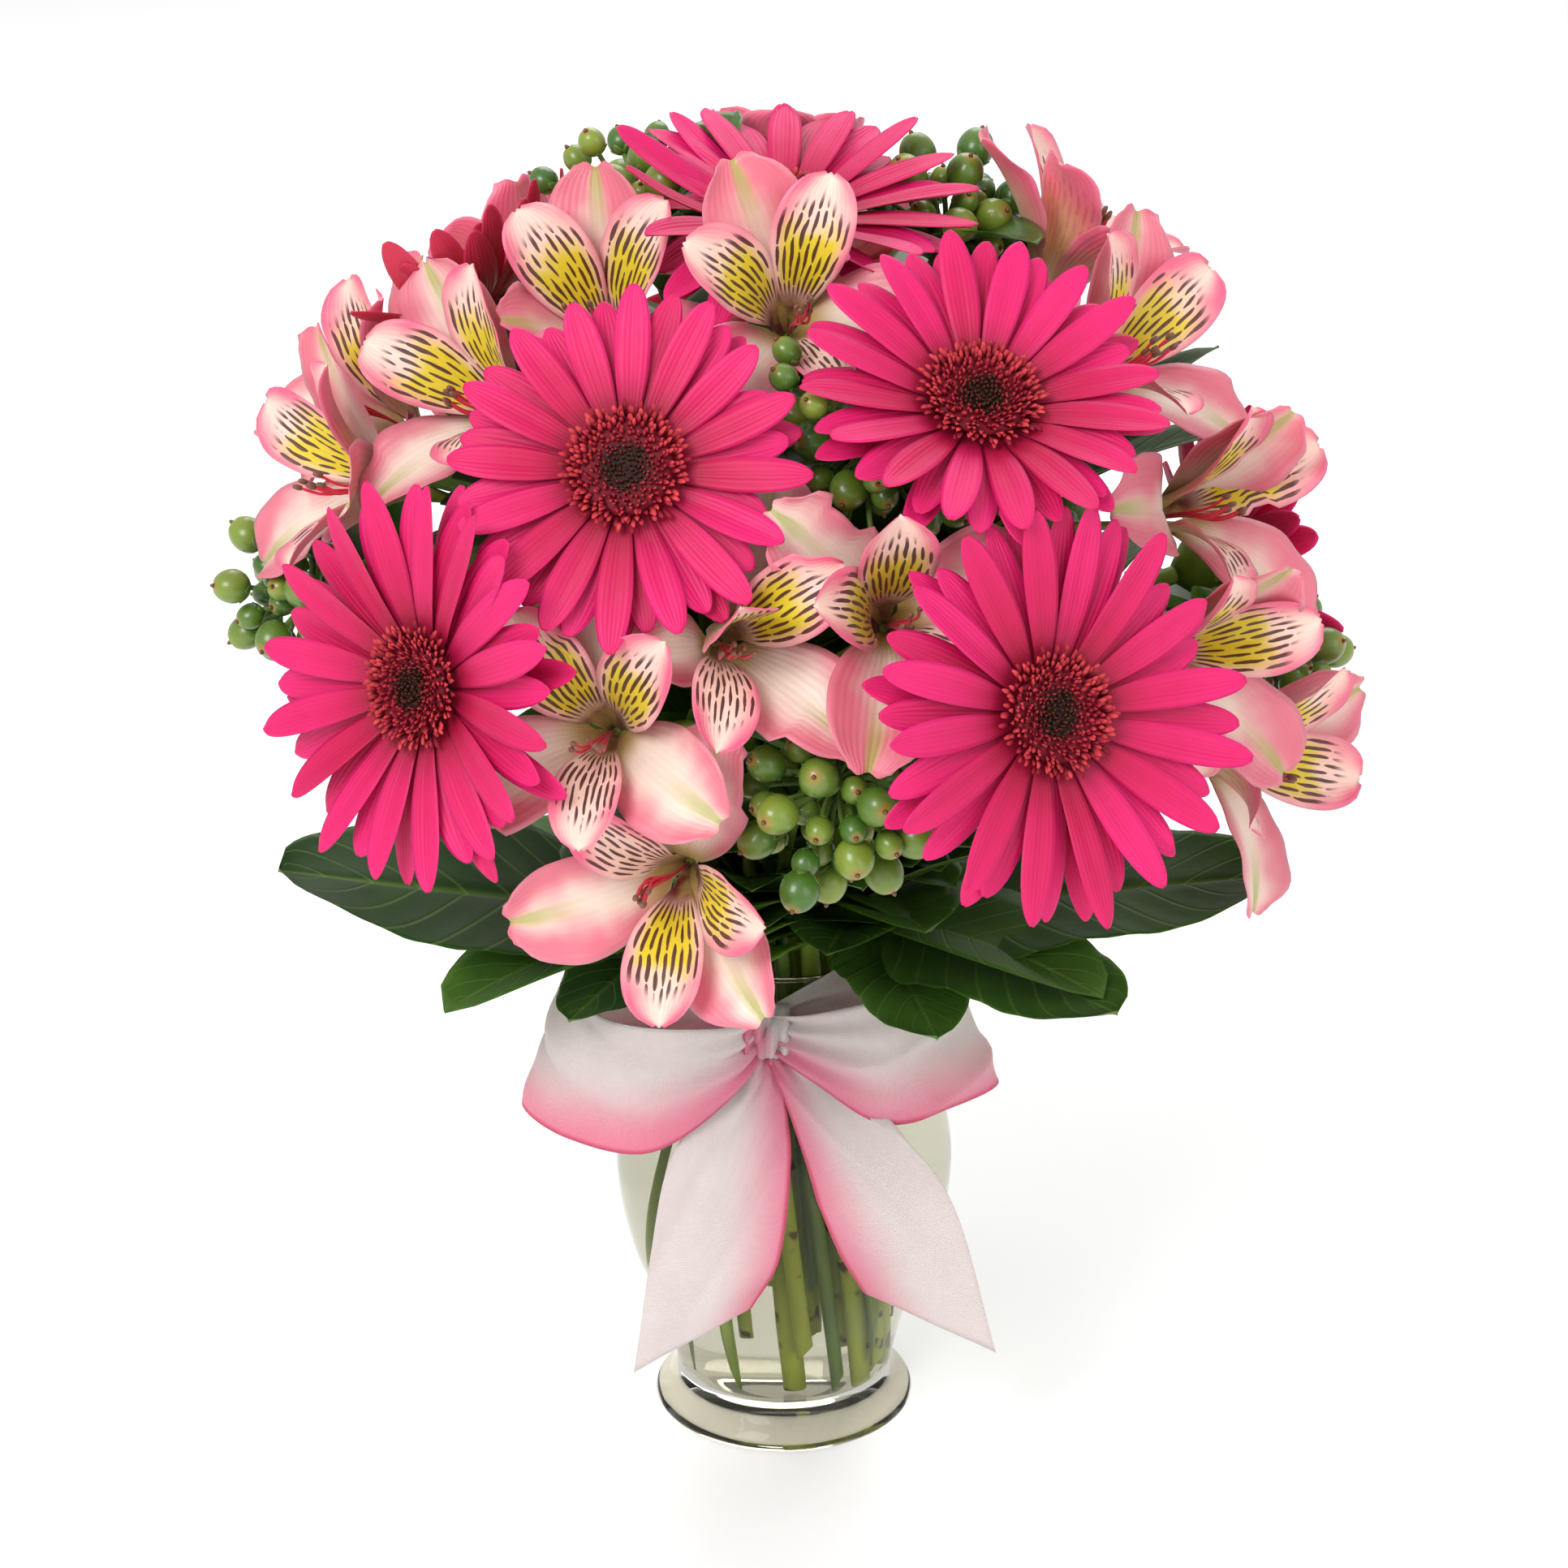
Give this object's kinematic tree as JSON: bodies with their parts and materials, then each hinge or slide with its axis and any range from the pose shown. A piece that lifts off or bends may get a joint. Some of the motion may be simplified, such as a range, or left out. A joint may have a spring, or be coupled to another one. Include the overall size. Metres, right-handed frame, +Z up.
{
  "type": "flowers in a glass vase",
  "caption": "Dome of gerberas, alstroemerias and green berries over a collar of broad leaves, in a bellied glass vase of water with a ribbon bow at its neck.",
  "frame": {"origin": "centre of the vase's flat underside", "axes": "+Z up along the vase's axis, -Y towards the front, where the bow is, +X to the front's right"},
  "size_m": [0.3253, 0.3194, 0.4014],
  "materials": {
    "glass": "clear, polished",
    "water": "clear liquid",
    "ribbon": "sheer satin, white shading to pink at the edges",
    "stem": "fresh green stalk",
    "eye": "velvety florets",
    "petal": "satin petal",
    "tepal": "satin petal",
    "berry": "glossy skin",
    "leaf": "waxy leaf"
  },
  "bodies": {
    "root": {"vase": "glass", "water": "water", "ribbon": "ribbon", "gerbera_1_stem": "stem", "gerbera_2_stem": "stem", "gerbera_3_stem": "stem", "gerbera_4_stem": "stem", "gerbera_5_stem": "stem", "gerbera_6_stem": "stem", "gerbera_7_stem": "stem", "gerbera_8_stem": "stem", "alstroemeria_top_stem": "stem", "alstroemeria_back_stem": "stem", "alstroemeria_left_stem": "stem", "alstroemeria_right_stem": "stem", "alstroemeria_centre_stem": "stem", "alstroemeria_low_right_stem": "stem", "gerbera_1_eye": "eye", "gerbera_2_eye": "eye", "gerbera_3_eye": "eye", "gerbera_4_eye": "eye", "gerbera_5_eye": "eye", "gerbera_6_eye": "eye", "gerbera_7_eye": "eye", "gerbera_8_eye": "eye", "gerbera_1_petals": "petal", "gerbera_2_petals": "petal", "gerbera_3_petals": "petal", "gerbera_4_petals": "petal", "gerbera_5_petals": "petal", "gerbera_6_petals": "petal", "gerbera_7_petals": "petal", "gerbera_8_petals": "petal", "bloom_1": "tepal", "bloom_2": "tepal", "bloom_3": "tepal", "bloom_4": "tepal", "bloom_5": "tepal", "bloom_6": "tepal", "bloom_7": "tepal", "bloom_8": "tepal", "bloom_9": "tepal", "bloom_10": "tepal", "bloom_11": "tepal", "bloom_12": "tepal", "bloom_13": "tepal", "bloom_14": "tepal", "bloom_15": "tepal", "bloom_16": "tepal", "bloom_17": "tepal", "bloom_18": "tepal", "hypericum_1": "berry", "hypericum_2": "berry", "hypericum_3": "berry", "hypericum_4": "berry", "hypericum_5": "berry", "hypericum_6": "berry", "leaves_back": "leaf", "leaves_left": "leaf", "leaves_right": "leaf"}
  },
  "joints": []
}
